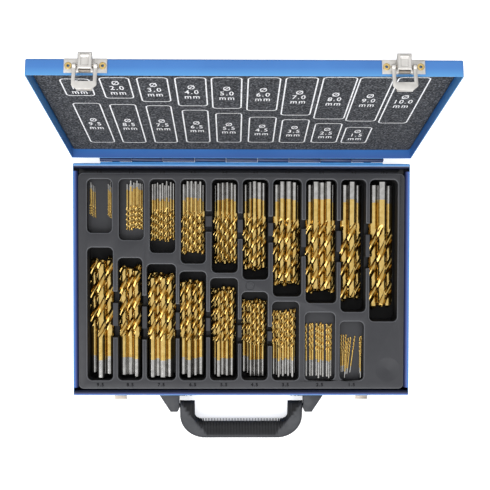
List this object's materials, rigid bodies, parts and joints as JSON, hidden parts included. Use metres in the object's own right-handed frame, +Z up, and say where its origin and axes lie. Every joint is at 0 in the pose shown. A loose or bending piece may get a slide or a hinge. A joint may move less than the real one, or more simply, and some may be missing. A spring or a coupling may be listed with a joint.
{
  "type": "drill bit case",
  "caption": "Flat hinged sheet-steel case for twist drills, open to show a formed tray with one pocket per size, a foam-lined lid, two draw latches and a swinging handle.",
  "frame": {"origin": "centre of the underside of the case base, on the surface it stands on", "axes": "+X to the right across the front, +Y to the back where the hinge is, +Z up"},
  "size_m": [0.356, 0.3741, 0.289],
  "materials": {
    "case_blue": "satin blue paint on pressed sheet steel",
    "hinge_blue": "dark blue paint, worn to bright metal on some knuckles",
    "tray_plastic": "thermoformed dark grey plastic sheet",
    "lid_foam": "dark grey speckled foam with a white printed size chart",
    "coated_drill_steel": "gold coloured hard coating on the flutes, bare bright steel on the shank ends",
    "latch_plate_metal": "nickel plated pressed steel",
    "catch_plate_metal": "nickel plated pressed steel, slightly warm",
    "eyelet_brass": "bright brass",
    "handle_plastic": "black moulded plastic",
    "pin_steel": "plain steel pins and rivets"
  },
  "bodies": {
    "base": {"base_shell": "case_blue", "hinge_leaf_base": "hinge_blue", "hinge_pin": "pin_steel", "drill_tray": "tray_plastic", "drills_1_0": "coated_drill_steel", "drills_2_0": "coated_drill_steel", "drills_3_0": "coated_drill_steel", "drills_4_0": "coated_drill_steel", "drills_5_0": "coated_drill_steel", "drills_6_0": "coated_drill_steel", "drills_7_0": "coated_drill_steel", "drills_8_0": "coated_drill_steel", "drills_9_0": "coated_drill_steel", "drills_10_0": "coated_drill_steel", "drills_9_5": "coated_drill_steel", "drills_8_5": "coated_drill_steel", "drills_7_5": "coated_drill_steel", "drills_6_5": "coated_drill_steel", "drills_5_5": "coated_drill_steel", "drills_4_5": "coated_drill_steel", "drills_3_5": "coated_drill_steel", "drills_2_5": "coated_drill_steel", "drills_1_5": "coated_drill_steel", "catch_left": "catch_plate_metal", "catch_right": "catch_plate_metal", "catch_rivets": "pin_steel", "handle_bracket_left": "handle_plastic", "handle_bracket_right": "handle_plastic", "bracket_rivets": "pin_steel", "handle_pin_left": "pin_steel", "handle_pin_right": "pin_steel"},
    "lid": {"lid_shell": "case_blue", "hinge_leaf_lid": "hinge_blue", "lid_foam_pad": "lid_foam", "latch_plate_left": "latch_plate_metal", "latch_plate_right": "latch_plate_metal", "latch_eyelets": "eyelet_brass", "lever_pin_left": "pin_steel", "lever_pin_right": "pin_steel"},
    "lever_left": {"latch_lever_left": "latch_plate_metal", "loop_pin_left": "pin_steel"},
    "lever_right": {"latch_lever_right": "latch_plate_metal", "loop_pin_right": "pin_steel"},
    "loop_left": {"latch_loop_left": "latch_plate_metal"},
    "loop_right": {"latch_loop_right": "latch_plate_metal"},
    "handle": {"handle_grip": "handle_plastic"}
  },
  "joints": [
    {"name": "lid_hinge", "type": "hinge", "parent": "base", "child": "lid", "pos_m": [0, 0.127, 0.035], "axis": [1, 0, 0], "range_deg": [0, 102.6]},
    {"name": "latch_lever_left", "type": "hinge", "parent": "lid", "child": "lever_left", "pos_m": [-0.1288, 0.18511, 0.28166], "axis": [1, 0, 0], "range_deg": [0, 130]},
    {"name": "latch_lever_right", "type": "hinge", "parent": "lid", "child": "lever_right", "pos_m": [0.1288, 0.18511, 0.28166], "axis": [1, 0, 0], "range_deg": [0, 130]},
    {"name": "latch_loop_left", "type": "hinge", "parent": "lever_left", "child": "loop_left", "pos_m": [-0.1288, 0.18937, 0.28102], "axis": [1, 0, 0], "range_deg": [-151, 0]},
    {"name": "latch_loop_right", "type": "hinge", "parent": "lever_right", "child": "loop_right", "pos_m": [0.1288, 0.18937, 0.28102], "axis": [1, 0, 0], "range_deg": [-151, 0]},
    {"name": "handle_swing", "type": "hinge", "parent": "base", "child": "handle", "pos_m": [0, -0.137, 0.017], "axis": [-1, 0, 0], "range_deg": [0, 106.8]}
  ],
  "couplings": [
    {"joint": "latch_loop_left", "follows": "latch_lever_left", "ratio": -1.1538},
    {"joint": "latch_loop_right", "follows": "latch_lever_right", "ratio": -1.1538}
  ]
}
